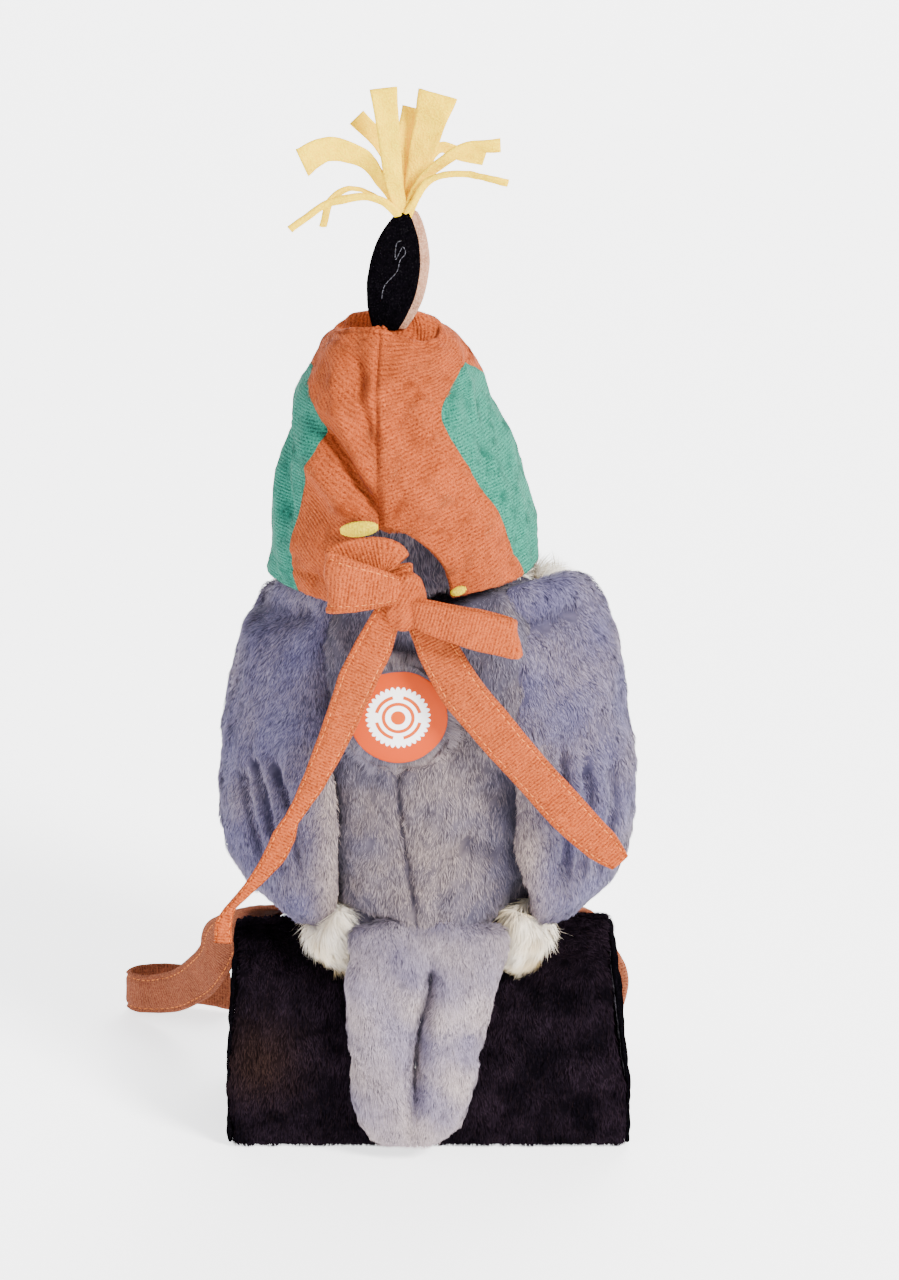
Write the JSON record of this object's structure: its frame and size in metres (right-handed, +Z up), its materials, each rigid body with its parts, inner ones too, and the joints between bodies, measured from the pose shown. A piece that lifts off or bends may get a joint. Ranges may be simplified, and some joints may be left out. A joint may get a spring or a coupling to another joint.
{
  "type": "interactive plush pet",
  "caption": "Plush falcon in a fabric hood with a felt plume, perched on a soft arm cuff, with a press-button sound module in its back.",
  "frame": {"origin": "centre of the arm cuff's flat base", "axes": "+Z up, -Y the way the bird faces, +X towards the bird's left side"},
  "size_m": [0.1575, 0.1205, 0.3105],
  "materials": {
    "cuff_plush": "black short-pile plush",
    "cuff_lining": "dark woven lining",
    "wadding": "polyester fibre filling",
    "grey_plush": "blue-grey short-pile plush with beige tips",
    "wing_plush": "blue-grey short-pile plush with stitched feather lines",
    "tail_plush": "light grey short-pile plush",
    "cream_plush": "cream long-pile plush",
    "lining_fabric": "brushed lining fabric",
    "beak": "satin moulded plastic",
    "cere": "satin moulded plastic",
    "eye": "polished plastic",
    "eye_ring": "satin plastic",
    "feet": "yellow velour",
    "claws": "satin moulded plastic",
    "strap_fabric": "brown velour tape with stitched edges",
    "case_plastic": "moulded white plastic",
    "circuit_board": "solder-masked laminate",
    "speaker_metal": "pressed and plated steel",
    "speaker_cone": "doped film",
    "cell": "nickel-plated can",
    "contact": "nickel-plated spring steel",
    "screw": "zinc-plated steel",
    "wire": "PVC insulation",
    "spring": "spring wire",
    "button_plastic": "moulded plastic",
    "sticker": "printed satin film",
    "hood_fabric": "rust-orange ribbed velour",
    "hood_green": "green velour",
    "tab_black": "black felt",
    "tab_tan": "tan backing felt",
    "plume_felt": "yellow felt",
    "bow_fabric": "rust-orange velour tape with stitched edges",
    "tack_fabric": "yellow thread and felt"
  },
  "bodies": {
    "torso": {"cuff_plush": "cuff_plush", "cuff_padding": "wadding", "cuff_lining": "cuff_lining", "cuff_bindings": "cuff_lining", "back_panel_left": "grey_plush", "back_panel_right": "grey_plush", "belly_panel": "cream_plush", "crown_panel": "grey_plush", "face_panel": "cream_plush", "stuffing": "wadding", "neck_ruff": "cream_plush", "beak": "beak", "cere": "cere", "eyes": "eye", "eye_washers": "eye_ring", "thighs": "cream_plush", "left_foot": "feet", "right_foot": "feet", "claws": "claws", "left_jess": "strap_fabric", "right_jess": "strap_fabric", "module_case": "case_plastic", "module_cover": "case_plastic", "circuit_board": "circuit_board", "speaker_frame": "speaker_metal", "speaker_cone": "speaker_cone", "battery_cells": "cell", "battery_contacts": "contact", "battery_door": "case_plastic", "door_screw": "screw", "case_screws": "screw", "speaker_leads": "wire", "button_spring": "spring"},
    "press_button": {"button_cap": "button_plastic", "press_patch": "grey_plush", "press_sticker": "sticker"},
    "hood": {"hood_back_left": "hood_fabric", "hood_back_right": "hood_fabric", "hood_side_left": "hood_green", "hood_side_right": "hood_green", "hood_front": "hood_fabric", "crest_tab_back": "tab_black", "crest_tab_front": "tab_tan", "crest_plume": "plume_felt", "bow_knot": "bow_fabric", "bow_loop_left": "bow_fabric", "bow_loop_right": "bow_fabric", "tie_left": "bow_fabric", "tie_right": "bow_fabric", "tie_tacks": "tack_fabric"},
    "left_wing": {"left_wing_cover": "wing_plush", "left_wing_lining": "lining_fabric", "left_wing_wadding": "wadding"},
    "right_wing": {"right_wing_cover": "wing_plush", "right_wing_lining": "lining_fabric", "right_wing_wadding": "wadding"},
    "tail": {"tail_cover": "tail_plush", "tail_lining": "cream_plush", "tail_wadding": "wadding"}
  },
  "joints": [
    {"name": "button_press", "type": "slide", "parent": "torso", "child": "press_button", "axis": [0, -1, 0], "range_m": [0, 0.0025], "stiffness_N_per_m": 300, "springref_m": -0.002, "deforming": ["button_spring"]},
    {"name": "hood_lift", "type": "slide", "parent": "torso", "child": "hood", "axis": [0, 0, 1], "range_m": [0, 0.09]},
    {"name": "left_wing_lift", "type": "hinge", "parent": "torso", "child": "left_wing", "pos_m": [0.039, -0.008, 0.1606], "axis": [0, -1, 0], "range_deg": [0, 40]},
    {"name": "right_wing_lift", "type": "hinge", "parent": "torso", "child": "right_wing", "pos_m": [-0.039, -0.008, 0.1606], "axis": [0, 1, 0], "range_deg": [0, 40]},
    {"name": "tail_lift", "type": "hinge", "parent": "torso", "child": "tail", "pos_m": [0, 0.0324, 0.0706], "axis": [1, 0, 0], "range_deg": [0, 50]}
  ]
}
